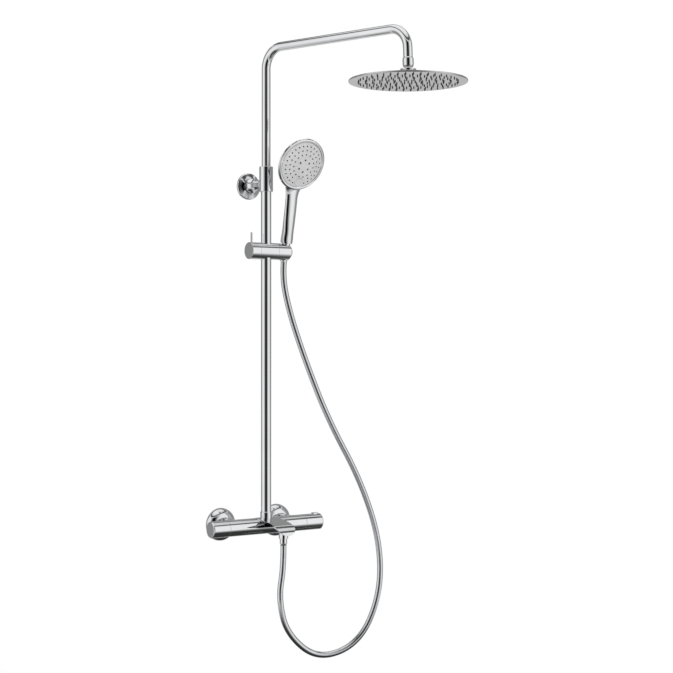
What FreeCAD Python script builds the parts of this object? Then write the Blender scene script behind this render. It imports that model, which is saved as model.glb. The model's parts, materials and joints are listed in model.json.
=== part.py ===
"""Rainfall shower column: thermostatic bar mixer with a bath spout, telescopic riser,
swivelling arm with a round overhead rose, and a hand shower on a slider with its hose.

Millimetres. X runs along the wall to the right, Y runs into the wall and Z is up. The origin is on
the wall's finished face, midway between the two water inlets, at the height of the mixer's axis.
"""
import FreeCAD, Part
import math
import os

Vec = FreeCAD.Vector
RIGHT, LEFT = Vec(1, 0, 0), Vec(-1, 0, 0)
INTO_WALL, FROM_WALL = Vec(0, 1, 0), Vec(0, -1, 0)
UP, DOWN = Vec(0, 0, 1), Vec(0, 0, -1)

# ---- driving dimensions -------------------------------------------------------------------------
GAP = 0.1                      # clearance between pieces that touch or slide
INLET_HALF = 75.0              # the two water inlets stand 150 apart
AXIS_TO_WALL = 78.0            # mixer axis and riser axis, in front of the wall

BAR_R = 18.5                   # mixer body and both handles
BODY_LEFT, BODY_RIGHT = -103.6, 99.6
HANDLE_END = 146.5             # outer face of each handle's cap, from the middle
CAP_THICK = 2.9
SHELL_IN_R = 15.2              # inside of the handles
CHAMBER_R = 14.2               # cartridge chambers at both ends of the body
SPINDLE_R = 4.0

G_HALF_R = 10.48               # half-inch pipe thread, outside
G_THREE_QUARTER_R = 13.22      # three-quarter-inch pipe thread, outside
WALL_THREAD = 18.0             # length of the inlet thread behind the wall face
ROSETTE_R, ROSETTE_DEPTH = 37.4, 20.0

LOWER_R, UPPER_R, TUBE_WALL = 11.7, 10.0, 1.2
COLLAR_R, COLLAR_TOP = 13.4, 31.7
SEAT_TOP = 24.0                # top of the riser's seat on the mixer
LOWER_TOP = 800.0              # top of the lower riser tube
SLEEVE_R, SLEEVE_Z = 15.6, (757.5, 814.3)
BRACKET_Z = 775.6              # axis of the bracket's stem and wall flange
FLANGE_R, FLANGE_DEPTH = 30.5, 11.4
SCREW_SPAN, SCREW_R, SCREW_DEPTH = 34.0, 2.25, 38.0

UPPER_BOTTOM = 540.0           # lower end of the telescopic tube, inside the lower one
ARM_Z, ARM_REACH = 1082.5, 412.0
ARM_SWIVEL, ARM_FALL, DROP_LEAN = 13.3, 0.8, 2.0   # degrees
BEND_R = 46.0
NUT_R, NUT_SPAN = 11.8, (64.5, 85.0)               # along the drop, from the arm's axis
BALL_AT, BALL_R = 79.0, 9.3
HEAD_R, HEAD_FACE = 125.0, 116.0
HEAD_THICK = 3.6

SLIDER_Z, SLIDER_R = 622.6, 19.2
KNOB_LEFT, KNOB_RIGHT = -46.2, -24.0
SLIDER_X = (-23.8, 23.6)
HOLDER_X = (23.9, 63.0)
HOLDER_CHAMFER = 6.0
HOLE_X = 51.0                  # where the hand shower stands in the holder
HAND_TILT, HAND_TWIST = 15.5, 2.0                  # degrees, forward and to the right
FACE_LEAN = 10.0                                   # degrees, the rose against its handle
HAND_R, HAND_LENGTH, FACE_FORWARD = 61.0, 203.0, 25.0

HOSE_R = 7.0
HOSE_OUTLET_X = 47.0


# ---- small helpers ------------------------------------------------------------------------------
def bar(radius, start, end):
    """Round bar between two points."""
    axis = end - start
    return Part.makeCylinder(radius, axis.Length, start, axis)


def pipe(outer, inner, start, end):
    return bar(outer, start, end).cut(bar(inner, start, end))


def turned(profile, start, axis):
    """Solid of revolution. The profile is a closed outline of (radius, distance along the axis)."""
    points = [Vec(radius, 0, along) for radius, along in profile]
    outline = Part.makePolygon(points + points[:1])
    solid = Part.Face(outline).revolve(Vec(0, 0, 0), UP, 360)
    turn = FreeCAD.Rotation(UP, axis)
    solid.Placement = FreeCAD.Placement(start, turn)
    return solid


def fuse(first, *others):
    return first.multiFuse(list(others)).removeSplitter()


def hexagon(across_flats, start, end):
    """Hexagonal bar, two corners on the line at right angles to its axis."""
    axis = end - start
    radius = across_flats / math.sqrt(3)
    corners = [Vec(radius * math.cos(math.radians(60 * i)), radius * math.sin(math.radians(60 * i)), 0)
               for i in range(7)]
    solid = Part.Face(Part.makePolygon(corners)).extrude(Vec(0, 0, axis.Length))
    solid.Placement = FreeCAD.Placement(start, FreeCAD.Rotation(UP, axis))
    return solid


def rounded_path(points, radius_at):
    """Wire of straight runs joined by tangent arcs, and the list of arc radii."""
    edges = []
    radii = []
    here = points[0]
    for before, corner, after in zip(points, points[1:], points[2:]):
        into = (corner - before).normalize()
        out = (after - corner).normalize()
        turn = into.getAngle(out)
        radius = radius_at(min((corner - before).Length, (after - corner).Length), turn)
        back = radius * math.tan(turn / 2)
        first = corner - into * back
        last = corner + out * back
        inward = (out - into).normalize()
        middle = corner + inward * (radius / math.cos(turn / 2) - radius)
        edges.append(Part.LineSegment(here, first).toShape())
        edges.append(Part.Arc(first, middle, last).toShape())
        radii.append(radius)
        here = last
    edges.append(Part.LineSegment(here, points[-1]).toShape())
    return Part.Wire(edges), radii


def swept(radius, wire):
    """Round rod along a wire."""
    start = wire.Edges[0].Vertexes[0].Point
    along = wire.Edges[0].tangentAt(wire.Edges[0].FirstParameter)
    ring = Part.Wire(Part.makeCircle(radius, start, along))
    return wire.makePipeShell([ring], True, False)


def at_axis(x, forward, z):
    """Point given by how far it stands in front of the mixer's axis."""
    return Vec(x, -AXIS_TO_WALL - forward, z)


MIXER = at_axis(0, 0, 0)


# ---- water inlets -------------------------------------------------------------------------------
UNION_END, NUT_FRONT = -44.0, -57.0
STUB_END, STUB_FLANGE = -46.0, -49.0


def inlet_union(x):
    """Straight wall union: half-inch thread in the wall, three-quarter-inch thread for the nut."""
    profile = [(7.0, -WALL_THREAD), (G_HALF_R, -WALL_THREAD), (G_HALF_R, 0.0), (12.2, 0.0),
               (12.2, 24.0), (G_THREE_QUARTER_R, 24.0), (G_THREE_QUARTER_R, -UNION_END),
               (7.0, -UNION_END)]
    return turned(profile, Vec(x, 0, 0), FROM_WALL)


def inlet_nut(x):
    """Union nut with six flats and a round front collar that hides the stub's flange."""
    outside = fuse(hexagon(31.0, Vec(x, -28, 0), Vec(x, -50, 0)),
                   bar(16.8, Vec(x, -50, 0), Vec(x, NUT_FRONT, 0)))
    thread = bar(G_THREE_QUARTER_R + GAP, Vec(x, -27, 0), Vec(x, STUB_FLANGE - GAP, 0))
    lip = bar(11.0 + GAP, Vec(x, -48, 0), Vec(x, NUT_FRONT - 1, 0))
    return outside.cut(thread).cut(lip)


def wall_rosette(x):
    """Domed cover, open at the wall."""
    outer = [(ROSETTE_R, 0.0), (36.9, 4.5), (35.4, 9.0), (32.6, 13.2), (28.6, 16.6),
             (23.5, 19.0), (18.0, ROSETTE_DEPTH), (13.6, ROSETTE_DEPTH)]
    inner = [(13.6, 18.6), (17.8, 18.6), (22.8, 17.7), (27.7, 15.4), (31.5, 12.2),
             (34.1, 8.4), (35.5, 4.3), (36.0, 0.0)]
    return turned(outer + inner, Vec(x, 0, 0), FROM_WALL)


def inlet_filters():
    """A sealing washer with a strainer dome in each inlet."""
    washers = []
    for x in (-INLET_HALF, INLET_HALF):
        profile = [(12.6, 44.05), (12.6, 45.9), (5.6, 45.9), (5.6, 45.1), (0.0, 45.1), (0.0, 44.05)]
        washers.append(turned(profile, Vec(x, 0, 0), FROM_WALL))
    return Part.makeCompound(washers)


def check_valves():
    """Non-return valve cartridges inside the inlet stubs."""
    valves = []
    for x in (-INLET_HALF, INLET_HALF):
        valves.append(turned([(7.4, 47.0), (7.4, 58.0), (5.0, 61.0), (3.0, 61.0), (3.0, 47.0)],
                             Vec(x, 0, 0), FROM_WALL))
    return Part.makeCompound(valves)


# ---- mixer body and spout -----------------------------------------------------------------------
def mixer_body():
    body = bar(BAR_R, at_axis(BODY_LEFT, 0, 0), at_axis(BODY_RIGHT, 0, 0))
    additions = [bar(11.4, MIXER + Vec(0, 0, 8), MIXER + Vec(0, 0, SEAT_TOP))]
    for x in (-INLET_HALF, INLET_HALF):
        additions.append(bar(11.0, at_axis(x, 0, 0), Vec(x, STUB_END, 0)))
        additions.append(bar(12.9, Vec(x, STUB_FLANGE, 0), Vec(x, STUB_END, 0)))
    body = fuse(body, *additions)
    hollows = [bar(CHAMBER_R, at_axis(BODY_LEFT - 1, 0, 0), at_axis(-60, 0, 0)),
               bar(CHAMBER_R, at_axis(50, 0, 0), at_axis(BODY_RIGHT + 1, 0, 0)),
               bar(8.0, at_axis(-61, 0, 0), at_axis(51, 0, 0)),
               bar(7.0, MIXER, MIXER + Vec(0, 0, SEAT_TOP + 1)),
               bar(6.5, MIXER, at_axis(0, BAR_R + 1, -3)),
               bar(8.0 + GAP, at_axis(HOSE_OUTLET_X, 0, -BAR_R - 1), at_axis(HOSE_OUTLET_X, 0, -12)),
               bar(5.0, at_axis(HOSE_OUTLET_X, 0, -13), at_axis(HOSE_OUTLET_X, 0, 0))]
    for x in (-INLET_HALF, INLET_HALF):
        hollows.append(bar(7.5, Vec(x, STUB_END + 1, 0), at_axis(x, 5, 0)))
    return body.cut(Part.makeCompound(hollows))


SPOUT_LIP_Z = -14.5


def spout_side(thickness):
    """Side view of the blade: a deck that leaves the bar level, droops and turns down at the lip."""
    top = [(-3.0, 18.9), (12.0, 17.2), (26.0, 15.2), (46.0, 12.8), (65.0, 9.0), (79.0, 3.8),
           (88.0, -3.4), (92.0, -10.0), (93.0, SPOUT_LIP_Z)]
    curve = Part.BSplineCurve()
    curve.interpolate([at_axis(0, forward, z) for forward, z in top])
    edge = curve.toShape()
    under = Part.BSplineCurve()
    low = [(93.0 - thickness, SPOUT_LIP_Z), (90.0 - thickness, -7.5), (80.0 - thickness, 0.0),
           (62.0, 9.2 - thickness), (30.0, 14.2 - thickness), (-3.0, 17.2 - thickness)]
    under.interpolate([at_axis(0, forward, z) for forward, z in low])
    below = under.toShape()
    ends = [Part.LineSegment(at_axis(0, 93.0, SPOUT_LIP_Z), at_axis(0, *low[0])).toShape(),
            Part.LineSegment(at_axis(0, *low[-1]), at_axis(0, *top[0])).toShape()]
    return Part.Face(Part.Wire([edge, ends[0], below, ends[1]]))


def spout():
    """Bath spout: thin blade with a rounded tongue end over a narrower water box."""
    half = 31.0
    blade = spout_side(3.2)
    blade.translate(Vec(-half, 0, 0))
    blade = blade.extrude(Vec(2 * half, 0, 0))
    # front view: straight sides that close in a round bottom
    front = [Vec(-24.6, 0, 5.0), Vec(0, 0, SPOUT_LIP_Z), Vec(24.6, 0, 5.0)]
    outline = Part.Wire([Part.Arc(*front).toShape(),
                         Part.LineSegment(Vec(24.6, 0, 5.0), Vec(half, 0, 40)).toShape(),
                         Part.LineSegment(Vec(half, 0, 40), Vec(-half, 0, 40)).toShape(),
                         Part.LineSegment(Vec(-half, 0, 40), Vec(-24.6, 0, 5.0)).toShape()])
    window = Part.Face(outline).extrude(Vec(0, -200, 0))
    blade = blade.common(window)
    # plan view: wide root on the bar, narrowing to the tongue
    root = [at_axis(31, -4, -40), at_axis(31, 8, -40), at_axis(27, 22, -40), at_axis(24.8, 44, -40),
            at_axis(24.6, 95, -40)]
    plan = Part.makePolygon(root + [Vec(-p.x, p.y, p.z) for p in reversed(root)] + root[:1])
    blade = blade.common(Part.Face(plan).extrude(Vec(0, 0, 80)))
    box = [at_axis(-17, 10, 14.0), at_axis(-17, 30, 12.4), at_axis(-17, 62, 7.6), at_axis(-17, 78, 2.0),
           at_axis(-17, 83, -4.5), at_axis(-17, 82, -7.5), at_axis(-17, 62, -9.0), at_axis(-17, 8, -14.0)]
    water_box = Part.Face(Part.makePolygon(box + box[:1])).extrude(Vec(34, 0, 0))
    whole = fuse(blade, water_box)
    bar_hole = bar(BAR_R + 0.02, at_axis(-60, 0, 0), at_axis(60, 0, 0))
    collar_hole = bar(COLLAR_R + GAP, MIXER, MIXER + Vec(0, 0, 40))
    channel = bar(6.5, at_axis(0, 10, -1.8), at_axis(0, 66, -1.6))
    outlet = Part.makeBox(28.2, 10.2, 20, at_axis(-14.1, 76.1, -18))
    for tool in (bar_hole, collar_hole, channel, outlet):
        whole = whole.cut(tool)
    return whole


def spout_insert():
    """Flow straightener pressed into the spout's outlet."""
    plate = Part.makeBox(28.0, 10.0, 5.0, at_axis(-14.0, 76.0, -7.4))
    slots = [Part.makeBox(2.0, 7.0, 7.0, at_axis(-12.5 + 3.25 * i, 74.5, -8.4)) for i in range(8)]
    return plate.cut(Part.makeCompound(slots))


# ---- cartridges and handles ---------------------------------------------------------------------
def mirrored(solid):
    """The same solid at the other end of the mixer."""
    return solid.mirror(Vec(0, 0, 0), RIGHT)


def cartridge(inner_end, outer_end):
    """Cartridge in one end chamber, with a neck that stands out into the handle."""
    length = abs(outer_end - inner_end)
    profile = [(SPINDLE_R + GAP, 0.0), (12.0, 0.0), (12.0, 12.0), (CHAMBER_R - GAP, 14.0),
               (CHAMBER_R - GAP, length - 9.0), (9.0, length - 9.0), (9.0, length),
               (SPINDLE_R + GAP, length)]
    return turned(profile, at_axis(inner_end, 0, 0), RIGHT if outer_end > inner_end else LEFT)


def handle_shell(inner_end):
    """Round handle, built on the right: a tube with a web that grips the spindle."""
    outer_end = HANDLE_END - CAP_THICK - GAP
    shell = pipe(BAR_R, SHELL_IN_R, at_axis(inner_end, 0, 0), at_axis(outer_end, 0, 0))
    web = pipe(SHELL_IN_R + 0.5, SPINDLE_R + 0.05, at_axis(116, 0, 0), at_axis(121, 0, 0))
    return fuse(shell, web)


def handle_cap():
    """End cap with a spigot, its outer edge rounded, built on the right."""
    inner_end = HANDLE_END - CAP_THICK
    profile = [(0.0, inner_end), (BAR_R, inner_end), (BAR_R, HANDLE_END - 1.8), (17.8, HANDLE_END - 0.6),
               (16.4, HANDLE_END), (0.0, HANDLE_END)]
    disc = turned(profile, MIXER, RIGHT)
    spigot = bar(SHELL_IN_R - GAP, at_axis(inner_end - 2.0, 0, 0), at_axis(inner_end, 0, 0))
    return fuse(disc, spigot)


BUTTON_X, BUTTON_TOP = 132.5, 20.6


def oval(length, width, low, high):
    """Upright block with round ends over the temperature handle's button place."""
    half = (length - width) / 2
    middle = Part.makeBox(2 * half, width, high - low, at_axis(BUTTON_X - half, width / 2, low))
    ends = [bar(width / 2, at_axis(BUTTON_X + side * half, 0, low), at_axis(BUTTON_X + side * half, 0, high))
            for side in (-1, 1)]
    return fuse(middle, *ends)


def temperature_handle():
    shell = handle_shell(BODY_RIGHT + 0.4)
    return shell.cut(oval(17.2, 9.2, 5.0, 30.0))


def safety_button():
    """Button over the 38 degree stop, with a foot that keeps it in the handle."""
    foot = oval(17.8, 11.0, 10.6, 12.4)
    head = oval(17.0, 9.0, 12.4, BUTTON_TOP)
    return fuse(foot, head)


def stop_ring():
    """Temperature stop ring on the cartridge's neck."""
    ring = pipe(13.4, 9.0 + GAP, at_axis(101.5, 0, 0), at_axis(105.5, 0, 0))
    tab = Part.makeBox(6.0, 5.0, 3.0, at_axis(103.5, 2.5, 10.2))
    return fuse(ring, tab)


# ---- riser --------------------------------------------------------------------------------------
def riser_collar():
    """Nut that holds the riser on its seat; its foot is shaped to the bar."""
    profile = [(11.4 + GAP, 10.0), (COLLAR_R, 10.0), (COLLAR_R, COLLAR_TOP - 0.8),
               (COLLAR_R - 0.8, COLLAR_TOP), (LOWER_R + GAP, COLLAR_TOP), (LOWER_R + GAP, SEAT_TOP + 2.0),
               (11.4 + GAP, SEAT_TOP + 2.0)]
    return turned(profile, MIXER, UP).cut(bar(BAR_R + GAP, at_axis(-20, 0, 0), at_axis(20, 0, 0)))


def bracket_sleeve():
    """Sleeve over the joint of the two riser tubes, with a recess for the gland."""
    low, high = SLEEVE_Z
    profile = [(LOWER_R + 0.05, low), (SLEEVE_R - 0.6, low), (SLEEVE_R, low + 0.6), (SLEEVE_R, high - 0.6),
               (SLEEVE_R - 0.6, high), (UPPER_R + 0.2, high), (UPPER_R + 0.2, high - 3.2),
               (12.6, high - 3.2), (12.6, LOWER_TOP + GAP), (LOWER_R + 0.05, LOWER_TOP + GAP)]
    return turned(profile, MIXER, UP)


def sleeve_gland():
    low, high = LOWER_TOP + 0.2, SLEEVE_Z[1] - 3.3
    return pipe(12.5, UPPER_R + 0.08, MIXER + Vec(0, 0, low), MIXER + Vec(0, 0, high))


BOSS_R, BOSS_END = 8.0, -24.0


def bracket_stem():
    """Hourglass stem from the wall flange to the sleeve."""
    reach = AXIS_TO_WALL - 8
    profile = [(BOSS_R + 0.05, 5.3), (17.0, 5.3), (17.0, FLANGE_DEPTH + 0.1), (14.2, 14.2), (12.0, 18.0),
               (10.6, 22.5), (9.9, 28.0), (9.7, 34.0), (10.3, 41.0), (11.4, 48.0), (12.9, 56.0), (14.0, 63.0),
               (14.0, reach), (0.0, reach), (0.0, 1 - BOSS_END), (BOSS_R + 0.05, 1 - BOSS_END)]
    stem = turned(profile, Vec(0, 0, BRACKET_Z), FROM_WALL)
    sleeve_room = bar(SLEEVE_R + 0.02, MIXER + Vec(0, 0, 700), MIXER + Vec(0, 0, 850))
    grub_hole = bar(2.0 + 0.05, Vec(0, -18, BRACKET_Z - 20), Vec(0, -18, BRACKET_Z - BOSS_R))
    return stem.cut(sleeve_room).cut(grub_hole)


def bracket_flange():
    """Round cover over the wall plate, open at the wall."""
    inner = 17.0 + GAP
    profile = [(FLANGE_R, 0.0), (FLANGE_R, 3.4), (29.9, 4.8), (28.6, 5.7), (25.0, 7.2), (21.0, 9.1),
               (inner, FLANGE_DEPTH), (inner, FLANGE_DEPTH - 1.6), (20.7, 7.6), (24.7, 5.8), (28.4, 4.4),
               (29.1, 3.4), (29.1, 0.0)]
    return turned(profile, Vec(0, 0, BRACKET_Z), FROM_WALL)


def screw_places():
    return [Vec(0, 0, BRACKET_Z + side * SCREW_SPAN / 2) for side in (-1, 1)]


def bracket_wall_plate():
    """Plate fixed to the wall, with the boss that carries the stem."""
    plate = turned([(0.0, 0.0), (25.0, 0.0), (25.0, 4.0), (16.0, 4.0), (16.0, 5.0), (BOSS_R, 5.0),
                    (BOSS_R, -BOSS_END), (0.0, -BOSS_END)], Vec(0, 0, BRACKET_Z), FROM_WALL)
    for place in screw_places():
        hole = [(0.0, -1.0), (SCREW_R + GAP, -1.0), (SCREW_R + GAP, 1.8), (4.4 + GAP, 4.0), (4.4 + GAP, 5.0),
                (0.0, 5.0)]
        plate = plate.cut(turned(hole, place, FROM_WALL))
    return plate


def wall_screws():
    """Two countersunk screws that reach into the wall."""
    profile = [(0.0, 4.0), (4.4, 4.0), (1.7, 1.3), (1.7, -0.4), (SCREW_R, -0.4), (SCREW_R, 4 - SCREW_DEPTH),
               (0.0, -SCREW_DEPTH)]
    return Part.makeCompound([turned(profile, place, FROM_WALL) for place in screw_places()])


def grub_screw():
    """Set screw under the stem, biting on the wall plate's boss."""
    return bar(2.0, Vec(0, -18, BRACKET_Z - 10.6), Vec(0, -18, BRACKET_Z - BOSS_R - 0.05))


# ---- telescopic tube, arm and ball joint --------------------------------------------------------
def turned_direction(degrees_right):
    """Level direction away from the wall, swung to the right."""
    angle = math.radians(degrees_right)
    return Vec(math.sin(angle), -math.cos(angle), 0)


ARM_OUT = turned_direction(ARM_SWIVEL)
ARM_CORNER = MIXER + Vec(0, 0, ARM_Z)
DROP_CORNER = ARM_CORNER + ARM_OUT * ARM_REACH - UP * (ARM_REACH * math.tan(math.radians(ARM_FALL)))
DROP_WAY = (ARM_OUT * math.sin(math.radians(DROP_LEAN)) - UP * math.cos(math.radians(DROP_LEAN))).normalize()


def on_drop(distance):
    return DROP_CORNER + DROP_WAY * distance


def arm_tube():
    """Upper riser, arm and short drop, bent from one tube."""
    corners = [MIXER + Vec(0, 0, UPPER_BOTTOM), ARM_CORNER, DROP_CORNER, on_drop(74.0)]
    wire, _ = rounded_path(corners, lambda shorter, turn: BEND_R)
    return swept(UPPER_R, wire).cut(swept(UPPER_R - TUBE_WALL, wire))


def telescope_bush():
    """Guide bush and seal under the telescopic tube; the tube turns on its spigot."""
    inside = UPPER_R - TUBE_WALL
    bore = LOWER_R - TUBE_WALL
    profile = [(6.0, UPPER_BOTTOM - 22), (bore - 0.08, UPPER_BOTTOM - 22), (bore - 0.08, UPPER_BOTTOM - GAP),
               (inside - 0.08, UPPER_BOTTOM - GAP), (inside - 0.08, UPPER_BOTTOM + 14),
               (6.0, UPPER_BOTTOM + 14)]
    return turned(profile, MIXER, UP)


def ball_nut():
    low, high = NUT_SPAN
    profile = [(UPPER_R + GAP, low), (NUT_R - 1.3, low), (NUT_R - 0.4, low + 2.0), (NUT_R, low + 5.0),
               (NUT_R, high - 6.0), (NUT_R - 0.6, high - 3.0), (NUT_R - 2.2, high), (8.3, high),
               (8.3, BALL_AT), (UPPER_R + GAP, BALL_AT)]
    cavity = Part.makeSphere(BALL_R + 0.08, on_drop(BALL_AT))
    return turned(profile, DROP_CORNER, DROP_WAY).cut(cavity)


def ball_seat():
    """Washer between the tube's end and the ball."""
    ring = pipe(UPPER_R - 0.1, 6.0, on_drop(74.1), on_drop(78.0))
    return ring.cut(Part.makeSphere(BALL_R + 0.08, on_drop(BALL_AT)))


def head_ball():
    ball = Part.makeSphere(BALL_R, on_drop(BALL_AT))
    return ball.cut(bar(4.0, on_drop(BALL_AT - 12), on_drop(BALL_AT + 12)))


# ---- overhead rose ------------------------------------------------------------------------------
PLATE_THICK = 1.0
HEAD_BACK = HEAD_FACE - HEAD_THICK
HEAD_TOP = on_drop(BALL_AT) + UP * BALL_AT         # the rose hangs level, straight under the ball
HEAD_RINGS = [(14.9 * ring, 6 * ring, 37.0 * ring) for ring in range(1, 8)]
HEAD_HOLE_R, HEAD_TIP = 1.6, 3.0


def ring_places(rings):
    """Places on concentric rings, each given by its radius, count and first angle in degrees."""
    places = []
    for radius, count, first in rings:
        for i in range(count):
            angle = math.radians(first + 360 * i / count)
            places.append((radius * math.cos(angle), radius * math.sin(angle)))
    return places


def rose_frame(solid):
    """Turns a solid built about +Z to hang down; distances count from the arm's axis."""
    solid.Placement = FreeCAD.Placement(HEAD_TOP, FreeCAD.Rotation(RIGHT, 180))
    return solid


def head_collar():
    """Neck, round hub and flared foot under the ball."""
    profile = [(4.0, BALL_AT + 5.0), (6.2, BALL_AT + 5.0), (6.2, 88.0), (16.0, 88.3), (16.8, 89.1),
               (16.8, 91.0), (16.0, 91.8), (15.0, 92.2), (15.4, 99.0), (18.0, 104.0),
               (22.0, HEAD_BACK - 4.0), (24.0, HEAD_BACK), (12.0, HEAD_BACK), (8.0, 104.0), (4.0, 98.0)]
    collar = turned(profile, HEAD_TOP, DOWN)
    return collar.cut(Part.makeSphere(BALL_R + 0.06, on_drop(BALL_AT)))


def head_top_plate():
    """Thin upper plate with a turned-down rim."""
    profile = [(11.0, HEAD_BACK + 0.02), (HEAD_R - 0.8, HEAD_BACK + 0.02), (HEAD_R, HEAD_BACK + 0.8),
               (HEAD_R, HEAD_FACE - PLATE_THICK - 0.02), (HEAD_R - 1.2, HEAD_FACE - PLATE_THICK - 0.02),
               (HEAD_R - 1.2, HEAD_BACK + PLATE_THICK), (11.0, HEAD_BACK + PLATE_THICK)]
    return turned(profile, HEAD_TOP, DOWN)


def head_places():
    return [(0.0, 0.0)] + ring_places(HEAD_RINGS)


def head_spray_plate():
    """Lower plate with a hole for each nozzle."""
    top = HEAD_FACE - PLATE_THICK
    disc = Part.makeCylinder(HEAD_R, PLATE_THICK, Vec(0, 0, top))
    disc = disc.makeChamfer(0.4, [edge for edge in disc.Edges if abs(edge.BoundBox.ZMin - HEAD_FACE) < 1e-6
                                  and edge.BoundBox.ZLength < 1e-6])
    holes = [Part.makeCylinder(HEAD_HOLE_R, 4, Vec(x, y, top - 1)) for x, y in head_places()]
    return rose_frame(disc.cut(Part.makeCompound(holes)))


def tip(x, y, base, hole_r, stand):
    """Tapered nozzle through a hole."""
    return Part.makeCone(hole_r - 0.1, hole_r - 0.5, stand, Vec(x, y, base))


def head_nozzle_mat():
    """Rubber sheet behind the plate, with a nozzle through each hole."""
    base = HEAD_FACE - PLATE_THICK - 0.05
    sheet = Part.makeCylinder(HEAD_R - 2.0, 0.8, Vec(0, 0, base - 0.8))
    tips = [tip(x, y, base, HEAD_HOLE_R, PLATE_THICK + HEAD_TIP) for x, y in head_places()]
    return rose_frame(sheet.multiFuse(tips))


def head_filter():
    """Flow regulator inside the hub."""
    return pipe(3.9, 1.2, HEAD_TOP + DOWN * 90.0, HEAD_TOP + DOWN * 95.0)


# ---- slider -------------------------------------------------------------------------------------
SLIDER = MIXER + Vec(0, 0, SLIDER_Z)
BUSH_R, BUSH_HALF = 14.0, 12.4


def across(x):
    """Point on the slider's axis."""
    return SLIDER + Vec(x, 0, 0)


def slider_bush():
    return pipe(BUSH_R, LOWER_R + 0.08, SLIDER - UP * BUSH_HALF, SLIDER + UP * BUSH_HALF)


def slider_body():
    body = bar(SLIDER_R, across(SLIDER_X[0]), across(SLIDER_X[1]))
    hollows = [bar(BUSH_R + 0.08, SLIDER - UP * (BUSH_HALF + GAP), SLIDER + UP * (BUSH_HALF + GAP)),
               bar(LOWER_R + 0.4, SLIDER - UP * 30, SLIDER + UP * 30),
               bar(6.0 + 0.08, across(SLIDER_X[0] - 1), across(-12)),
               bar(7.0 + 0.08, across(12), across(SLIDER_X[1] + 1))]
    return body.cut(Part.makeCompound(hollows))


def lever_knob():
    """Clamping knob at the left end, with the spindle that presses on the bush."""
    profile = [(0.0, KNOB_LEFT), (SLIDER_R - 0.6, KNOB_LEFT), (SLIDER_R, KNOB_LEFT + 0.6),
               (SLIDER_R, KNOB_RIGHT), (6.0, KNOB_RIGHT), (6.0, -14.6), (0.0, -14.6)]
    return turned(profile, SLIDER, RIGHT).cut(bar(2.45, across(-39) + UP * 8, across(-39) + UP * 30))


def lever_pin():
    start, end = across(-39) + UP * 8.1, across(-39) + UP * 42.2
    return fuse(bar(2.4, start, end - UP * 2.4), Part.makeSphere(2.4, end - UP * 2.4))


HAND_TURN = FreeCAD.Rotation(RIGHT, HAND_TILT).multiply(FreeCAD.Rotation(UP, HAND_TWIST))
HAND_PLACE = FreeCAD.Placement(across(HOLE_X), HAND_TURN)


def in_hand(solid):
    """Moves a solid built about +Z, face towards -Y, into the tilted hand shower."""
    solid.Placement = HAND_PLACE.multiply(solid.Placement)
    return solid


NUT_TOP, NUT_BOTTOM = 21.2, -22.0
NUT_TOP_R, NUT_BOTTOM_R = 9.6, 8.4


def shower_holder():
    """Turning end of the slider with the tapered socket and the hose slot at the back."""
    profile = [(0.0, 14.6), (7.0, 14.6), (7.0, HOLDER_X[0]), (SLIDER_R, HOLDER_X[0]),
               (SLIDER_R, HOLDER_X[1] - HOLDER_CHAMFER), (SLIDER_R - HOLDER_CHAMFER, HOLDER_X[1]),
               (0.0, HOLDER_X[1])]
    holder = turned(profile, SLIDER, RIGHT)
    slope = (NUT_TOP_R - NUT_BOTTOM_R) / (NUT_TOP - NUT_BOTTOM)
    socket = Part.makeCone(NUT_BOTTOM_R - 8 * slope + 0.12, NUT_TOP_R + 8 * slope + 0.12,
                           NUT_TOP - NUT_BOTTOM + 16, Vec(0, 0, NUT_BOTTOM - 8))
    slot = Part.makeBox(2 * HOSE_R + 1.0, 60, 90, Vec(-HOSE_R - 0.5, 0, -45))
    tilt = FreeCAD.Placement(across(HOLE_X), FreeCAD.Rotation(RIGHT, HAND_TILT))
    for tool in (socket, slot):
        tool.Placement = tilt
        holder = holder.cut(tool)
    return holder


# ---- hand shower, built upright and then tilted into the holder ---------------------------------
FACE_R, FACE_THICK = 53.0, 3.0
DOME_R = 150.0                                     # the face is a shallow dome
HAND_RINGS = [(13.8, 6, 30.0), (26.4, 15, 90.0), (35.8, 20, 90.0), (45.0, 27, 90.0)]
HAND_HOLE_R, HAND_MIDDLE_HOLE_R = 1.6, 2.1
BUTTON_DOWN, BUTTON_R = 39.5, 10.0
FACE_CENTRE = Vec(0, -FACE_FORWARD, HAND_LENGTH)
FACE_TURN = FreeCAD.Rotation(RIGHT, FACE_LEAN)
WATERWAY_START, WATERWAY_END = Vec(0, 0.2, 20), Vec(0, 4.6, 116)
THROAT_BEND, THROAT_END = Vec(0, 5.2, 142), Vec(0, -2.5, 161)


def handle_section(height, half_width, half_depth, centre_y):
    """Closed oval section of the handle."""
    return Part.Wire(Part.Ellipse(Vec(0, centre_y, height), half_width, half_depth).toShape())


def about_face(profile):
    """Solid of revolution about the rose's own axis; distances run back from the middle of the face."""
    return turned(profile, FACE_CENTRE, FACE_TURN.multVec(INTO_WALL))


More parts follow.
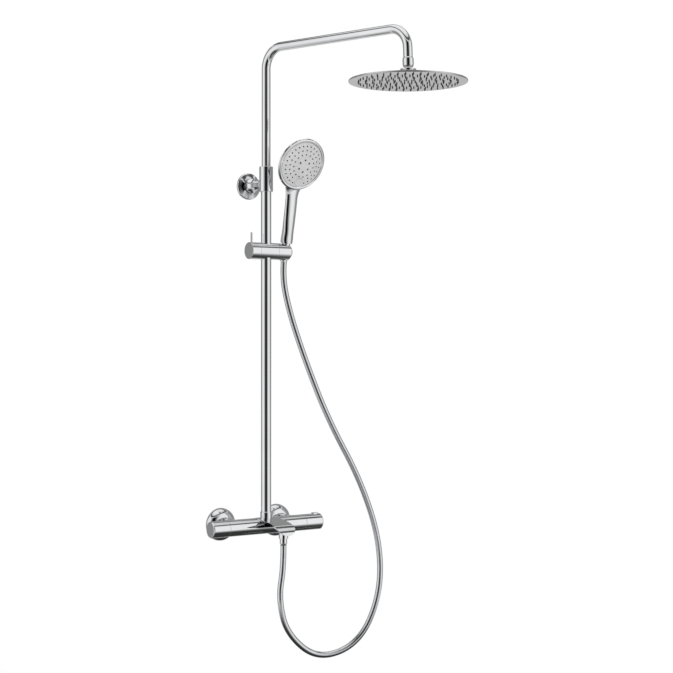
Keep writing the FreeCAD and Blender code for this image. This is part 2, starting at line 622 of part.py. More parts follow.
def handset_shell():
    """Handle and the back of the rose in one moulding."""
    sections = [(21.5, 13.9, 12.8, 0.0), (42.0, 14.3, 10.9, 0.4), (58.0, 14.5, 10.2, 1.0),
                (76.0, 15.0, 9.3, 2.0), (96.0, 15.3, 8.6, 3.2), (113.0, 15.4, 8.2, 4.6),
                (127.0, 15.8, 8.0, 5.9), (138.0, 17.6, 7.8, 6.0), (150.0, 22.5, 7.2, 4.0),
                (160.0, 28.0, 6.6, 0.0), (172.0, 34.0, 6.0, -7.5)]
    handle = Part.makeLoft([handle_section(*section) for section in sections], True)
    back = about_face([(0.0, 4.0), (40.0, 9.0), (FACE_R + GAP, 10.2), (54.2, 9.3), (57.2, 9.0), (59.6, 9.8),
                       (60.7, 11.2), (HAND_R, 12.8), (60.2, 14.6), (57.0, 17.2), (50.0, 20.0),
                       (40.0, 22.4), (27.0, 24.8), (13.0, 26.2), (0.0, 26.6)])
    pocket = about_face([(0.0, -1.0), (FACE_R + GAP, -1.0), (FACE_R + GAP, 13.2), (50.0, 13.2),
                         (49.0, 16.0), (38.0, 19.2), (25.0, 21.4), (0.0, 23.0)])
    throat = fuse(bar(4.0, WATERWAY_END + DOWN * 3, THROAT_BEND), bar(4.0, THROAT_BEND, THROAT_END))
    waterway = fuse(bar(6.0, WATERWAY_START, WATERWAY_END), throat)
    return in_hand(fuse(handle, back).cut(pocket).cut(waterway))


def dome_drop(x, y):
    """How far the face has fallen back at a place on it."""
    return DOME_R - math.sqrt(DOME_R ** 2 - x ** 2 - y ** 2)


def dome_layer(radius, front, back):
    """Round piece of the dome between two depths behind its surface, built about +Z."""
    middle = Vec(0, 0, -DOME_R)
    layer = Part.makeCylinder(radius, 3 * FACE_THICK + 12, Vec(0, 0, -2 * FACE_THICK - 12))
    return layer.common(Part.makeSphere(DOME_R - front, middle)).cut(Part.makeSphere(DOME_R - back, middle))


def hand_places():
    """Nozzles of the face, left out where the button stands."""
    return [(x, y) for x, y in ring_places(HAND_RINGS) if math.hypot(x, y + BUTTON_DOWN) > BUTTON_R + 3.2]


def hand_hole_r(x, y):
    """The six nozzles round the middle are wider than the others."""
    return HAND_MIDDLE_HOLE_R if math.hypot(x, y) < 20.0 else HAND_HOLE_R


# X across the face, Y up it and Z out of it
FACE_FRAME = FreeCAD.Placement(FACE_CENTRE, FACE_TURN.multiply(FreeCAD.Rotation(RIGHT, 90)))
# the button's middle, with Z square to the dome there
BUTTON_FRAME = FreeCAD.Placement(Vec(0, -BUTTON_DOWN, -dome_drop(0, BUTTON_DOWN)),
                                 FreeCAD.Rotation(RIGHT, math.degrees(math.asin(BUTTON_DOWN / DOME_R))))


def on_face(solid, placement):
    """Moves a solid on to the face."""
    solid.Placement = placement
    return solid


def handset_face():
    """Domed spray plate of the hand shower."""
    plate = dome_layer(FACE_R, 0.0, FACE_THICK)
    holes = [Part.makeCylinder(hand_hole_r(x, y), 24, Vec(x, y, -20)) for x, y in hand_places()]
    holes.append(on_face(Part.makeCylinder(BUTTON_R + 0.25, 12, Vec(0, 0, -6)), BUTTON_FRAME))
    return in_hand(on_face(plate.cut(Part.makeCompound(holes)), FACE_FRAME))


def handset_nozzle_mat():
    """Rubber sheet behind the face, with a nozzle through each hole."""
    gap = FACE_THICK + 0.05
    tips = [tip(x, y, -dome_drop(x, y) - gap - 0.4, hand_hole_r(x, y), gap + 1.2) for x, y in hand_places()]
    mat = dome_layer(FACE_R - 4.0, gap, gap + 1.0).multiFuse(tips)
    button_hole = on_face(Part.makeCylinder(BUTTON_R + 1.5, 12, Vec(0, 0, -8)), BUTTON_FRAME)
    return in_hand(on_face(mat.cut(button_hole), FACE_FRAME))


def selector_button():
    """Round push button low on the face, slightly dished."""
    button = Part.makeCylinder(BUTTON_R, 4.8, Vec(0, 0, -3.2))
    rim = [edge for edge in button.Edges if edge.BoundBox.ZMin > 1.0 and edge.BoundBox.ZLength < 1e-6]
    button = button.makeFillet(0.8, rim)
    dish = Part.makeSphere(60.0, Vec(0, 0, 60.0 + 1.0))
    return in_hand(on_face(button.cut(dish), FACE_FRAME.multiply(BUTTON_FRAME)))


def handset_waterway():
    """Inner pipe from the hose thread to the rose."""
    run = WATERWAY_END - WATERWAY_START
    return in_hand(pipe(5.9, 4.4, WATERWAY_START + run * 0.02, WATERWAY_START + run * 0.95))


def hose_cone_nut():
    """Tapered nut that seats in the holder."""
    profile = [(HOSE_R + 0.05, NUT_BOTTOM), (NUT_BOTTOM_R, NUT_BOTTOM), (NUT_TOP_R, NUT_TOP), (0.0, NUT_TOP),
               (0.0, 0.0), (HOSE_R + 0.05, 0.0)]
    return in_hand(turned(profile, Vec(0, 0, 0), UP))


# ---- hose ---------------------------------------------------------------------------------------
NIPPLE_END, HOSE_NUT_END, FERRULE_END = -27.0, -33.0, -48.0
OUTLET = at_axis(HOSE_OUTLET_X, 0, 0)


def hose_nipple():
    """Half-inch threaded outlet under the mixer."""
    profile = [(4.0, -12.2), (8.0, -12.2), (8.0, -19.2), (9.6, -19.2), (9.6, NIPPLE_END), (4.0, NIPPLE_END)]
    return turned(profile, OUTLET, UP)


def hose_seal():
    return pipe(9.2, 4.2, OUTLET + UP * (NIPPLE_END - 0.05), OUTLET + UP * (NIPPLE_END - 2.0))


def hose_nut():
    """Round nut with six shallow flats."""
    outside = bar(11.2, OUTLET + UP * -19.0, OUTLET + UP * HOSE_NUT_END)
    outside = outside.common(hexagon(21.6, OUTLET + UP * -19.0, OUTLET + UP * HOSE_NUT_END))
    return outside.cut(bar(9.7, OUTLET, OUTLET + UP * (NIPPLE_END - 2.05))).cut(
        bar(6.9, OUTLET, OUTLET + UP * (HOSE_NUT_END - 1)))


def hose_ferrule():
    """Crimped ferrule on the hose's lower end."""
    profile = [(4.2, -29.1), (6.8, -29.1), (6.8, HOSE_NUT_END - 0.1), (8.6, HOSE_NUT_END - 0.1),
               (8.6, FERRULE_END + 4), (7.6, FERRULE_END), (4.2, FERRULE_END)]
    return turned(profile, OUTLET, UP)


HAND_DOWN = HAND_TURN.multVec(DOWN)
HOSE_TOP = across(HOLE_X) + HAND_DOWN * 0.1
HOSE_ROUTE = [
    HOSE_TOP,
    HOSE_TOP + HAND_DOWN * 50,
    Vec(69, -68, 486),
    Vec(108, -80, 368),
    Vec(157, -99, 236),
    Vec(230, -127, 92),
    Vec(276, -140, -50),
    Vec(278, -138, -178),
    Vec(229, -122, -287),
    Vec(130, -97, -318),
    Vec(54, -80, -252),
    Vec(34, -78, -168),
    Vec(47, -78, -100),
    OUTLET + UP * (FERRULE_END - 0.05),
]


def hose():
    wire, radii = rounded_path(HOSE_ROUTE, lambda shorter, turn: 0.45 * shorter / math.tan(turn / 2))
    runs = [(b - a).Length for a, b in zip(HOSE_ROUTE, HOSE_ROUTE[1:])]
    solid = swept(HOSE_R, wire)
    print("hose runs", [round(run) for run in runs])
    print("hose radii", [round(radius) for radius in radii])
    print("hose length", round(wire.Length, 1), "volume ratio",
          round(solid.Volume / (math.pi * HOSE_R ** 2 * wire.Length), 4))
    return solid


# ---- all the pieces -----------------------------------------------------------------------------
def pieces():
    made = {}
    for side, x in (("left", -INLET_HALF), ("right", INLET_HALF)):
        made["inlet_union_" + side] = inlet_union(x)
        made["inlet_nut_" + side] = inlet_nut(x)
        made["wall_rosette_" + side] = wall_rosette(x)
    made["inlet_filters"] = inlet_filters()
    made["check_valves"] = check_valves()
    made["mixer_body"] = mixer_body()
    made["spout"] = spout()
    made["spout_insert"] = spout_insert()
    made["flow_cartridge"] = cartridge(-62.0, -112.0)
    made["thermostatic_cartridge"] = cartridge(56.0, 108.0)
    made["temperature_stop_ring"] = stop_ring()
    made["flow_handle"] = mirrored(handle_shell(104.0))
    made["flow_handle_cap"] = mirrored(handle_cap())
    made["flow_spindle"] = bar(SPINDLE_R, at_axis(-75, 0, 0), at_axis(-123, 0, 0))
    made["temperature_handle"] = temperature_handle()
    made["temperature_handle_cap"] = handle_cap()
    made["temperature_spindle"] = bar(SPINDLE_R, at_axis(70, 0, 0), at_axis(123, 0, 0))
    made["safety_button"] = safety_button()
    made["riser_collar"] = riser_collar()
    made["riser_seal"] = pipe(11.2, 8.0, MIXER + UP * (SEAT_TOP + 0.05), MIXER + UP * (SEAT_TOP + 2.0))
    made["riser_lower_tube"] = pipe(LOWER_R, LOWER_R - TUBE_WALL, MIXER + UP * (SEAT_TOP + 2.1),
                                    MIXER + UP * LOWER_TOP)
    made["bracket_sleeve"] = bracket_sleeve()
    made["sleeve_gland"] = sleeve_gland()
    made["bracket_stem"] = bracket_stem()
    made["bracket_flange"] = bracket_flange()
    made["bracket_wall_plate"] = bracket_wall_plate()
    made["wall_screws"] = wall_screws()
    made["bracket_grub_screw"] = grub_screw()
    made["telescope_bush"] = telescope_bush()
    made["arm_tube"] = arm_tube()
    made["ball_nut"] = ball_nut()
    made["ball_seat"] = ball_seat()
    made["head_ball"] = head_ball()
    made["head_collar"] = head_collar()
    made["head_top_plate"] = head_top_plate()
    made["head_spray_plate"] = head_spray_plate()
    made["head_nozzle_mat"] = head_nozzle_mat()
    made["head_filter"] = head_filter()
    made["slider_bush"] = slider_bush()
    made["slider_body"] = slider_body()
    made["lever_knob"] = lever_knob()
    made["lever_pin"] = lever_pin()
    made["shower_holder"] = shower_holder()
    made["handset_shell"] = handset_shell()
    made["handset_face"] = handset_face()
    made["handset_nozzle_mat"] = handset_nozzle_mat()
    made["handset_waterway"] = handset_waterway()
    made["selector_button"] = selector_button()
    made["hose_cone_nut"] = hose_cone_nut()
    made["hose_nipple"] = hose_nipple()
    made["hose_seal"] = hose_seal()
    made["hose_nut"] = hose_nut()
    made["hose_ferrule"] = hose_ferrule()
    made["hose"] = hose()
    return made


os.makedirs("parts", exist_ok=True)
for node, shape in pieces().items():
    shape.exportStep("parts/" + node + ".step")
    print(node, "solids", len(shape.Solids), "valid", shape.isValid(), "volume", round(shape.Volume))
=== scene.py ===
import json
import math

import bmesh
import bpy
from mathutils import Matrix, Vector


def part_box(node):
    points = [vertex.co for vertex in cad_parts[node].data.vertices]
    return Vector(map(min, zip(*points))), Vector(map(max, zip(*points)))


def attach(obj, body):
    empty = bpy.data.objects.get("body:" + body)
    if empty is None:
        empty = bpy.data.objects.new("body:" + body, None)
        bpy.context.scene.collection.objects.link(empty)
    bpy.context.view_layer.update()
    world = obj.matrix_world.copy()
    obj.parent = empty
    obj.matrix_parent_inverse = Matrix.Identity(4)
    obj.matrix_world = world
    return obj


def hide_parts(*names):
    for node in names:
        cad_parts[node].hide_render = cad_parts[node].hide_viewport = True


# Looks of a rainfall shower column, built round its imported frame. Metres: X runs along the wall to
# the right, Y into the wall and Z up, from the wall midway between the two water inlets.
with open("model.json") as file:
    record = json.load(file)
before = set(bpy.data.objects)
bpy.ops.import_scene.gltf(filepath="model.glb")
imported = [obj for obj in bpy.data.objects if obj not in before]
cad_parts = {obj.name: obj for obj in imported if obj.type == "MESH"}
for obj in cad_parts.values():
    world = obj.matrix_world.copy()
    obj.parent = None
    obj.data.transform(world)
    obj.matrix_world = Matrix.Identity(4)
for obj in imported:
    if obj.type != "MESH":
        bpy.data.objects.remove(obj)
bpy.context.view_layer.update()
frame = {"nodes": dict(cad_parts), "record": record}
nodes = frame["nodes"]
scene = bpy.context.scene

# ---- camera -------------------------------------------------------------------------------------
CAMERA_PLACE = (-1.8489, -2.9972, 0.4290)
CAMERA_AZIMUTH = -35.0
LENS_MM, SENSOR_MM = 81.3, 36.0

lens = bpy.data.cameras.new("camera")
lens.lens = LENS_MM
lens.sensor_width = SENSOR_MM
camera = bpy.data.objects.new("camera", lens)
camera.location = CAMERA_PLACE
camera.rotation_euler = (math.radians(90), 0, math.radians(CAMERA_AZIMUTH))
scene.collection.objects.link(camera)
scene.camera = camera

# ---- hose route ---------------------------------------------------------------------------------
HOSE_RADIUS = 0.0070
HOSE_ROUTE = [
    (0.0510, -0.07797, 0.62250), (0.0510, -0.06461, 0.57432), (0.0690, -0.0680, 0.4860),
    (0.1080, -0.0800, 0.3680), (0.1570, -0.0990, 0.2360), (0.2300, -0.1270, 0.0920),
    (0.2760, -0.1400, -0.0500), (0.2780, -0.1380, -0.1780), (0.2290, -0.1220, -0.2870),
    (0.1300, -0.0970, -0.3180), (0.0540, -0.0800, -0.2520), (0.0340, -0.0780, -0.1680),
    (0.0470, -0.0780, -0.1000), (0.0470, -0.0780, -0.04805),
]


def centreline(route):
    """Points along the one smooth spline that the route controls."""
    curve = bpy.data.curves.new("hose_line", "CURVE")
    curve.dimensions = "3D"
    curve.resolution_u = 40
    spline = curve.splines.new("NURBS")
    spline.points.add(len(route) - 1)
    for point, place in zip(spline.points, route):
        point.co = (*place, 1.0)
    spline.order_u = 3
    spline.use_endpoint_u = True
    holder = bpy.data.objects.new("hose_line", curve)
    scene.collection.objects.link(holder)
    mesh = bpy.data.meshes.new_from_object(holder.evaluated_get(bpy.context.evaluated_depsgraph_get()))
    points = [vertex.co.copy() for vertex in mesh.vertices]
    bpy.data.objects.remove(holder)
    bpy.data.meshes.remove(mesh)
    return points


def add_object(name, mesh):
    piece = bpy.data.objects.new(name, mesh)
    scene.collection.objects.link(piece)
    return piece


def tube(name, path, radius, sides):
    """Round tube along a path, with its length and its turn as UV, both in metres."""
    mesh = bpy.data.meshes.new(name)
    work = bmesh.new()
    uv = work.loops.layers.uv.new("UVMap")
    along, rings, lengths = 0.0, [], []
    side = Vector((1, 0, 0))
    for i, place in enumerate(path):
        ahead = path[min(i + 1, len(path) - 1)] - path[max(i - 1, 0)]
        ahead.normalize()
        side = (side - ahead * side.dot(ahead)).normalized()
        other = ahead.cross(side)
        along += (place - path[i - 1]).length if i else 0.0
        lengths.append(along)
        ring = []
        for k in range(sides):
            angle = 2 * math.pi * k / sides
            ring.append(work.verts.new(place + (side * math.cos(angle) + other * math.sin(angle)) * radius))
        rings.append(ring)
    around = 2 * math.pi * radius
    for i in range(len(rings) - 1):
        for k in range(sides):
            corners = (rings[i][k], rings[i][(k + 1) % sides], rings[i + 1][(k + 1) % sides], rings[i + 1][k])
            face = work.faces.new(corners)
            face.smooth = True
            places = ((k, i), (k + 1, i), (k + 1, i + 1), (k, i + 1))
            for loop, (turn, step) in zip(face.loops, places):
                loop[uv].uv = (around * turn / sides, lengths[step])
    work.faces.new(list(reversed(rings[0])))
    work.faces.new(rings[-1])
    work.to_mesh(mesh)
    work.free()
    return add_object(name, mesh), along


hose_line = centreline(HOSE_ROUTE)
hose, hose_length = tube("hose_tube", hose_line, HOSE_RADIUS, 28)
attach(hose, "column")
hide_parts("hose")


# ---- materials ----------------------------------------------------------------------------------
EDGE_ROUND, EDGE_SAMPLES = 0.0005, 4
NOISE_LOW, NOISE_HIGH = 0.35, 0.65
CLOUD_SCALE, GLOSS_SCALE = 14.0, 55.0
RIPPLE_SCALE, RIPPLE_DEPTH = 70.0, 0.0004
MOTTLE_SCALE, SHEEN_SCALE = 40.0, 160.0
GRAIN_STRENGTH = 0.25


class Finish:
    """A procedural material that grows round one Principled shader."""

    def __init__(self, name, colour, metallic, roughness):
        self.material = bpy.data.materials.new(name)
        self.material.use_nodes = True
        self.tree = self.material.node_tree
        self.shader = self.tree.nodes["Principled BSDF"]
        self.shader.inputs["Base Color"].default_value = (*colour, 1.0)
        self.shader.inputs["Metallic"].default_value = metallic
        self.shader.inputs["Roughness"].default_value = roughness
        self.place = self.tree.nodes.new("ShaderNodeTexCoord").outputs["Object"]

    def link(self, source, target):
        self.tree.links.new(source, target)

    def noise(self, scale, detail=3.0, stretch=(1, 1, 1)):
        mapping = self.tree.nodes.new("ShaderNodeMapping")
        mapping.inputs["Scale"].default_value = stretch
        self.link(self.place, mapping.inputs["Vector"])
        noise = self.tree.nodes.new("ShaderNodeTexNoise")
        noise.inputs["Scale"].default_value = scale
        noise.inputs["Detail"].default_value = detail
        self.link(mapping.outputs["Vector"], noise.inputs["Vector"])
        return noise.outputs["Fac"]

    def spread(self, source, low, high, socket):
        """Drives a socket from low to high with the middle of a noise."""
        fit = self.tree.nodes.new("ShaderNodeMapRange")
        fit.inputs["From Min"].default_value = NOISE_LOW
        fit.inputs["From Max"].default_value = NOISE_HIGH
        fit.inputs["To Min"].default_value = low
        fit.inputs["To Max"].default_value = high
        self.link(source, fit.inputs["Value"])
        self.link(fit.outputs["Result"], self.shader.inputs[socket])

    def tint(self, source, dark, light):
        """Colours the surface between two close tones."""
        ramp = self.tree.nodes.new("ShaderNodeValToRGB")
        for stop, place, colour in zip(ramp.color_ramp.elements, (NOISE_LOW, NOISE_HIGH), (dark, light)):
            stop.position = place
            stop.color = (*colour, 1.0)
        self.link(source, ramp.inputs["Fac"])
        self.link(ramp.outputs["Color"], self.shader.inputs["Base Color"])

    def bump(self, source, strength, depth):
        bump = self.tree.nodes.new("ShaderNodeBump")
        bump.inputs["Strength"].default_value = strength
        bump.inputs["Distance"].default_value = depth
        edge = self.tree.nodes.new("ShaderNodeBevel")
        edge.samples = EDGE_SAMPLES
        edge.inputs["Radius"].default_value = EDGE_ROUND
        self.link(edge.outputs["Normal"], bump.inputs["Normal"])
        self.link(source, bump.inputs["Height"])
        self.link(bump.outputs["Normal"], self.shader.inputs["Normal"])

    def maths(self, operation, *values):
        """Math node whose inputs are, in order, fixed numbers or linked outputs."""
        node = self.tree.nodes.new("ShaderNodeMath")
        node.operation = operation
        for socket, value in zip(node.inputs, values):
            if isinstance(value, float):
                socket.default_value = value
            else:
                self.link(value, socket)
        return node.outputs["Value"]


def polished(name, dark, light, rough, ripple):
    """Plated or polished metal: faint cloudiness in tone and gloss, and a trace of ripple."""
    finish = Finish(name, light, 1.0, rough[1])
    finish.tint(finish.noise(CLOUD_SCALE), dark, light)
    finish.spread(finish.noise(GLOSS_SCALE, 5.0), *rough, "Roughness")
    finish.bump(finish.noise(RIPPLE_SCALE, 1.0), ripple, RIPPLE_DEPTH)
    return finish.material


def moulded(name, dark, light, rough, grain, depth):
    """Moulded plastic or rubber with a fine grain."""
    finish = Finish(name, light, 0.0, rough[1])
    finish.tint(finish.noise(MOTTLE_SCALE), dark, light)
    finish.spread(finish.noise(SHEEN_SCALE, 4.0), *rough, "Roughness")
    finish.bump(finish.noise(grain, 2.0), GRAIN_STRENGTH, depth)
    return finish.material


def hose_finish():
    """Silvered winding under a clear skin: a fine helix of lighter and darker turns."""
    turn_pitch = 0.0026
    dark, light = (0.66, 0.67, 0.69), (0.70, 0.71, 0.73)
    finish = Finish("hose_skin_finish", dark, 1.0, 0.2)
    split = finish.tree.nodes.new("ShaderNodeSeparateXYZ")
    finish.link(finish.tree.nodes.new("ShaderNodeTexCoord").outputs["UV"], split.inputs["Vector"])
    lean = turn_pitch / (2 * math.pi * HOSE_RADIUS)
    along = finish.maths("MULTIPLY_ADD", split.outputs["X"], lean, split.outputs["Y"])
    wave = finish.maths("SINE", finish.maths("MULTIPLY", along, 2 * math.pi / turn_pitch))
    level = finish.tree.nodes.new("ShaderNodeMapRange")
    level.inputs["From Min"].default_value = -1.0
    finish.link(wave, level.inputs["Value"])
    finish.tint(level.outputs["Result"], dark, light)
    finish.spread(finish.noise(300.0), 0.14, 0.22, "Roughness")
    finish.bump(level.outputs["Result"], 0.04, 0.0001)
    finish.shader.inputs["Coat Weight"].default_value = 0.6
    finish.shader.inputs["Coat Roughness"].default_value = 0.08
    return finish.material


FINISHES = {
    "chrome": polished("chrome_finish", (0.77, 0.775, 0.785), (0.81, 0.815, 0.825), (0.03, 0.06), 0.03),
    "head_steel": polished("head_steel_finish", (0.55, 0.55, 0.56), (0.60, 0.60, 0.61), (0.05, 0.09), 0.02),
    "chromed_plastic": polished("chromed_plastic_finish", (0.76, 0.765, 0.775), (0.80, 0.805, 0.815),
                                (0.035, 0.07), 0.05),
    "face_grey": moulded("face_grey_finish", (0.69, 0.69, 0.70), (0.74, 0.74, 0.75), (0.24, 0.32), 900.0,
                         0.00002),
    "brass": polished("brass_finish", (0.62, 0.46, 0.20), (0.70, 0.53, 0.25), (0.22, 0.34), 0.08),
    "steel": polished("steel_finish", (0.52, 0.52, 0.53), (0.60, 0.60, 0.61), (0.18, 0.28), 0.06),
    "white_plastic": moulded("white_plastic_finish", (0.74, 0.74, 0.72), (0.80, 0.80, 0.78), (0.38, 0.5),
                             700.0, 0.00008),
    "rubber": moulded("rubber_finish", (0.020, 0.020, 0.021), (0.032, 0.032, 0.033), (0.55, 0.7), 1200.0,
                      0.0001),
    "nozzle_rubber": moulded("nozzle_rubber_finish", (0.035, 0.035, 0.037), (0.055, 0.055, 0.058),
                             (0.5, 0.62), 1500.0, 0.00006),
    "hose_skin": hose_finish(),
}

SLOT_OF = {part["node"]: part["material_slot"] for part in frame["record"]["subparts"]}


def paint(piece, slot):
    piece.data.materials.clear()
    piece.data.materials.append(FINISHES[slot])


paint(hose, "hose_skin")
for name, node in nodes.items():
    for slot in node.material_slots:
        slot.material = FINISHES[SLOT_OF[name]]

# ---- turned covers ------------------------------------------------------------------------------
# each outline is a list of (radius, distance from the wall)
TURNED_SIDES = 120
CURVE_STEPS = 6
ROSETTE_DOME = [(0.03740, 0.0000), (0.03690, 0.0045), (0.03540, 0.0090), (0.03260, 0.0132),
                (0.02860, 0.0166), (0.02350, 0.0190), (0.01800, 0.0200), (0.01360, 0.0200)]
ROSETTE_INSIDE = [(0.01360, 0.0186), (0.01780, 0.0186), (0.02770, 0.0154), (0.03410, 0.0084),
                  (0.03600, 0.0000)]
FLANGE_RIM = [(0.03050, 0.0000), (0.03050, 0.0020), (0.03045, 0.0034), (0.02980, 0.0047),
              (0.02860, 0.0056), (0.02500, 0.0072), (0.02100, 0.0091), (0.01710, 0.0114)]
FLANGE_INSIDE = [(0.01710, 0.0098), (0.02070, 0.0076), (0.02840, 0.0044), (0.02910, 0.0034),
                 (0.02910, 0.0000)]
STEM_FLARE = [(0.01700, 0.0115), (0.01420, 0.0142), (0.01200, 0.0180), (0.01060, 0.0225),
              (0.00990, 0.0280), (0.00970, 0.0340), (0.01030, 0.0410), (0.01140, 0.0480),
              (0.01290, 0.0560), (0.01400, 0.0630)]
STEM_INSIDE = [(0.00800, 0.0630), (0.00800, 0.0115)]


def eased(points):
    """More points along a smooth line through the given ones."""
    ends = [points[0]] + points + [points[-1]]
    line = []
    for a, b, c, d in zip(ends, ends[1:], ends[2:], ends[3:]):
        for step in range(CURVE_STEPS):
            t = step / CURVE_STEPS
            line.append(tuple(0.5 * (2 * q + (r - p) * t + (2 * p - 5 * q + 4 * r - s) * t ** 2
                                     + (3 * q - p - 3 * r + s) * t ** 3)
                              for p, q, r, s in zip(a, b, c, d)))
    return line + [points[-1]]


def turned_cover(name, node, outside, inside):
    """Cover turned about a line square to the wall, through the middle of its node's box."""
    low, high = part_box(node)
    x, z = (low[0] + high[0]) / 2, (low[2] + high[2]) / 2
    curved = eased(outside)
    outline = curved + inside
    work = bmesh.new()
    rings = []
    for k in range(TURNED_SIDES):
        angle = 2 * math.pi * k / TURNED_SIDES
        rings.append([work.verts.new((x + r * math.cos(angle), high[1] - depth, z + r * math.sin(angle)))
                      for r, depth in outline])
    for k, ring in enumerate(rings):
        beside = rings[(k + 1) % TURNED_SIDES]
        for i in range(len(outline)):
            j = (i + 1) % len(outline)
            face = work.faces.new((ring[i], ring[j], beside[j], beside[i]))
            face.smooth = i + 1 < len(curved)
    bmesh.ops.recalc_face_normals(work, faces=work.faces)
    mesh = bpy.data.meshes.new(name)
    work.to_mesh(mesh)
    work.free()
    piece = add_object(name, mesh)
    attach(piece, "column")
    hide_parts(node)
    paint(piece, "chrome")


turned_cover("rosette_left_cover", "wall_rosette_left", ROSETTE_DOME, ROSETTE_INSIDE)
turned_cover("rosette_right_cover", "wall_rosette_right", ROSETTE_DOME, ROSETTE_INSIDE)
turned_cover("flange_cover", "bracket_flange", FLANGE_RIM, FLANGE_INSIDE)
turned_cover("stem_cover", "bracket_stem", STEM_FLARE, STEM_INSIDE)

# ---- studio -------------------------------------------------------------------------------------
FLOOR_Z = -1.0
FLOOR_RADIUS = 3.0
FLOOR_MIDDLE = Vector((0.05, -0.25, FLOOR_Z))
FLOOR_DARK, FLOOR_LIGHT = (0.85, 0.85, 0.85), (0.86, 0.86, 0.86)
FLOOR_FADE = (0.8, FLOOR_RADIUS * 0.97)
WORLD_LIGHT = 0.8
LAMP_POWER, LAMP_SIZE = 26.0, 2.0
LAMP_TURN, LAMP_HEIGHT, LAMP_DISTANCE = -50, 40, 3.2

scene.view_settings.view_transform = "Standard"


def studio_world():
    """White behind the object and in reflections that miss the cards, and plain light on the rest."""
    world = bpy.data.worlds.new("studio")
    world.use_nodes = True
    scene.world = world
    tree = world.node_tree
    background = tree.nodes["Background"]
    background.inputs["Color"].default_value = (1, 1, 1, 1)
    path = tree.nodes.new("ShaderNodeLightPath")
    seen = path.outputs["Is Camera Ray"]
    for other in ("Is Glossy Ray", "Is Transmission Ray"):
        either = tree.nodes.new("ShaderNodeMath")
        either.operation = "MAXIMUM"
        tree.links.new(seen, either.inputs[0])
        tree.links.new(path.outputs[other], either.inputs[1])
        seen = either.outputs["Value"]
    level = tree.nodes.new("ShaderNodeMapRange")
    level.inputs["To Min"].default_value = WORLD_LIGHT
    tree.links.new(seen, level.inputs["Value"])
    tree.links.new(level.outputs["Result"], background.inputs["Strength"])


def glow(name, attribute):
    """Material of a card of painted reflection: each point glows with the grey painted on it."""
    material = bpy.data.materials.new(name)
    material.use_nodes = True
    tree = material.node_tree
    tree.nodes.clear()
    shade = tree.nodes.new("ShaderNodeAttribute")
    shade.attribute_name = attribute
    emission = tree.nodes.new("ShaderNodeEmission")
    output = tree.nodes.new("ShaderNodeOutputMaterial")
    tree.links.new(shade.outputs["Fac"], emission.inputs["Strength"])
    tree.links.new(emission.outputs["Emission"], output.inputs["Surface"])
    return material


def smooth(low, high, value):
    """0 at low, 1 at high, eased between them."""
    share = min(max((value - low) / (high - low), 0.0), 1.0)
    return share * share * (3 - 2 * share)


def card(name, place_at, shade_at, across, up):
    """Card of painted reflection that only reflections see and that lights nothing: a grid of points, each
    with its own glowing grey.
    """
    mesh = bpy.data.meshes.new(name)
    verts, faces = [], []
    for j in range(up + 1):
        for i in range(across + 1):
            verts.append(place_at(i / across, j / up))
    for j in range(up):
        for i in range(across):
            start = j * (across + 1) + i
            faces.append((start, start + 1, start + across + 2, start + across + 1))
    mesh.from_pydata(verts, [], faces)
    grey = mesh.attributes.new("grey", "FLOAT", "POINT")
    for j in range(up + 1):
        for i in range(across + 1):
            grey.data[j * (across + 1) + i].value = shade_at(i / across, j / up)
    mesh.materials.append(glow(name, "grey"))
    piece = add_object(name, mesh)
    piece.visible_camera = False
    piece.visible_diffuse = False
    piece.visible_shadow = False
    piece.visible_transmission = False


MIDDLE = Vector((0.05, -0.25, 0.35))
AZIMUTH = math.radians(CAMERA_AZIMUTH)
TOWARDS_CAMERA = Vector((math.sin(AZIMUTH), -math.cos(AZIMUTH), 0))
CAMERA_RIGHT = Vector((math.cos(AZIMUTH), math.sin(AZIMUTH), 0))


def bearing(turn, height, distance):
    """Point round the object: turn in degrees from the camera's side, height in degrees."""
    a, e = math.radians(turn), math.radians(height)
    level = TOWARDS_CAMERA * math.cos(a) + CAMERA_RIGHT * math.sin(a)
    return MIDDLE + (level * math.cos(e) + Vector((0, 0, math.sin(e)))) * distance


def floor_finish():
    """Pale floor that turns into the white background towards its rim."""
    finish = Finish("floor_finish", FLOOR_LIGHT, 0.0, 0.7)
    finish.tint(finish.noise(3.0), FLOOR_DARK, FLOOR_LIGHT)
    tree = finish.tree
    length = tree.nodes.new("ShaderNodeVectorMath")
    length.operation = "LENGTH"
    tree.links.new(finish.place, length.inputs[0])
    fade = tree.nodes.new("ShaderNodeMapRange")
    fade.interpolation_type = "SMOOTHSTEP"
    fade.inputs["From Min"].default_value = FLOOR_FADE[0]
    fade.inputs["From Max"].default_value = FLOOR_FADE[1]
    tree.links.new(length.outputs["Value"], fade.inputs["Value"])
    white = tree.nodes.new("ShaderNodeEmission")
    mix = tree.nodes.new("ShaderNodeMixShader")
    tree.links.new(fade.outputs["Result"], mix.inputs["Fac"])
    tree.links.new(finish.shader.outputs["BSDF"], mix.inputs[1])
    tree.links.new(white.outputs["Emission"], mix.inputs[2])
    tree.links.new(mix.outputs["Shader"], tree.nodes["Material Output"].inputs["Surface"])
    return finish.material


def floor_disc():
    """Round floor under the object."""
    mesh = bpy.data.meshes.new("floor")
    work = bmesh.new()
    bmesh.ops.create_circle(work, cap_ends=True, radius=FLOOR_RADIUS, segments=96)
    work.to_mesh(mesh)
    work.free()
    mesh.materials.append(floor_finish())
    disc = add_object("floor", mesh)
    disc.location = FLOOR_MIDDLE
    return disc


studio_world()
floor = floor_disc()
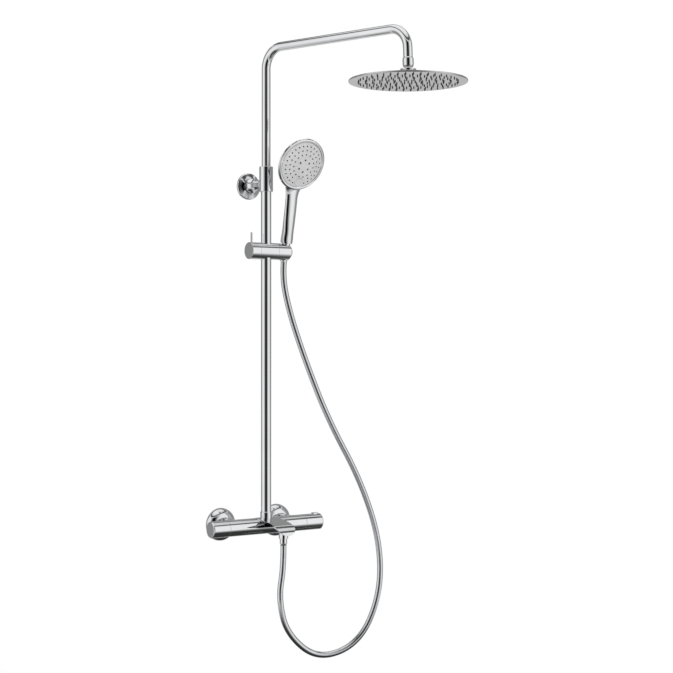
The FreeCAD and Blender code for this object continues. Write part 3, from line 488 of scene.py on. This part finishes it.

# The painted reflections of a studio, on glowing cards that only the metal's reflections see, in degrees from
# the camera's side and above level: a painted dark side round the camera, a painted tall softbox on each side
# of it, a dim back with a pale sweep along its foot, and a painted dark rim under a painted bright ceiling.
CARD_DISTANCE = 6.0
ROUND_HEIGHTS = (-30, 36)
HIGH_HEIGHTS = (36, 62)
DARK_SIDE_FADE = (10, 60)
SOFTBOX_FADE = (80, 110)
BACK_GREY = 0.3
SWEEP_SIDE_FADE, SWEEP_TOP_FADE = (135, 160), (-6, 2)
SWEEP_GREY = 0.7
RIM_FOOT_FADE, RIM_TOP_FADE = (38, 43), (50, 54)
CEILING_GREY, RIM_GREY = 0.8, 0.1


def spot(u, v, heights):
    """Turn and height of a place on an upright card."""
    return -180 + 360 * u, heights[0] + (heights[1] - heights[0]) * v


def round_grey(u, v):
    side, height = spot(u, v, ROUND_HEIGHTS)
    turn = abs(side)
    grey = smooth(*DARK_SIDE_FADE, turn) * (1 - (1 - BACK_GREY) * smooth(*SOFTBOX_FADE, turn))
    sweep = smooth(*SWEEP_SIDE_FADE, turn) * (1 - smooth(*SWEEP_TOP_FADE, height))
    return grey + (SWEEP_GREY - grey) * sweep


def high_grey(u, v):
    height = spot(u, v, HIGH_HEIGHTS)[1]
    rim = smooth(*RIM_FOOT_FADE, height) * (1 - smooth(*RIM_TOP_FADE, height))
    return CEILING_GREY + (RIM_GREY - CEILING_GREY) * rim


def round_place(u, v):
    return bearing(*spot(u, v, ROUND_HEIGHTS), CARD_DISTANCE)


def high_place(u, v):
    return bearing(*spot(u, v, HIGH_HEIGHTS), CARD_DISTANCE)


card("painted_reflection_round", round_place, round_grey, across=180, up=33)
card("painted_reflection_high", high_place, high_grey, across=72, up=26)

# painted reflection under the object, on a glowing card just above the floor that only the metal sees: dark
# near the object, pale further out
BELOW_REACH, BELOW_LIFT = 2.9, 0.02
BELOW_FADE = (0.8, 2.6)
BELOW_NEAR, BELOW_FAR = 0.04, 0.7


def below_place(u, v):
    angle = 2 * math.pi * u
    way = TOWARDS_CAMERA * math.cos(angle) + CAMERA_RIGHT * math.sin(angle)
    return FLOOR_MIDDLE + way * (BELOW_REACH * v) + Vector((0, 0, BELOW_LIFT))


def below_grey(_, v):
    return BELOW_NEAR + (BELOW_FAR - BELOW_NEAR) * smooth(*BELOW_FADE, BELOW_REACH * v)


card("painted_reflection_below", below_place, below_grey, across=64, up=30)

softbox = bpy.data.lights.new("softbox", "AREA")
softbox.shape = "RECTANGLE"
softbox.size = LAMP_SIZE
softbox.size_y = LAMP_SIZE
softbox.energy = LAMP_POWER
lamp = bpy.data.objects.new("softbox", softbox)
lamp.location = bearing(LAMP_TURN, LAMP_HEIGHT, LAMP_DISTANCE)
lamp.rotation_euler = (MIDDLE - lamp.location).to_track_quat("-Z", "Y").to_euler()
lamp.visible_glossy = False
scene.collection.objects.link(lamp)
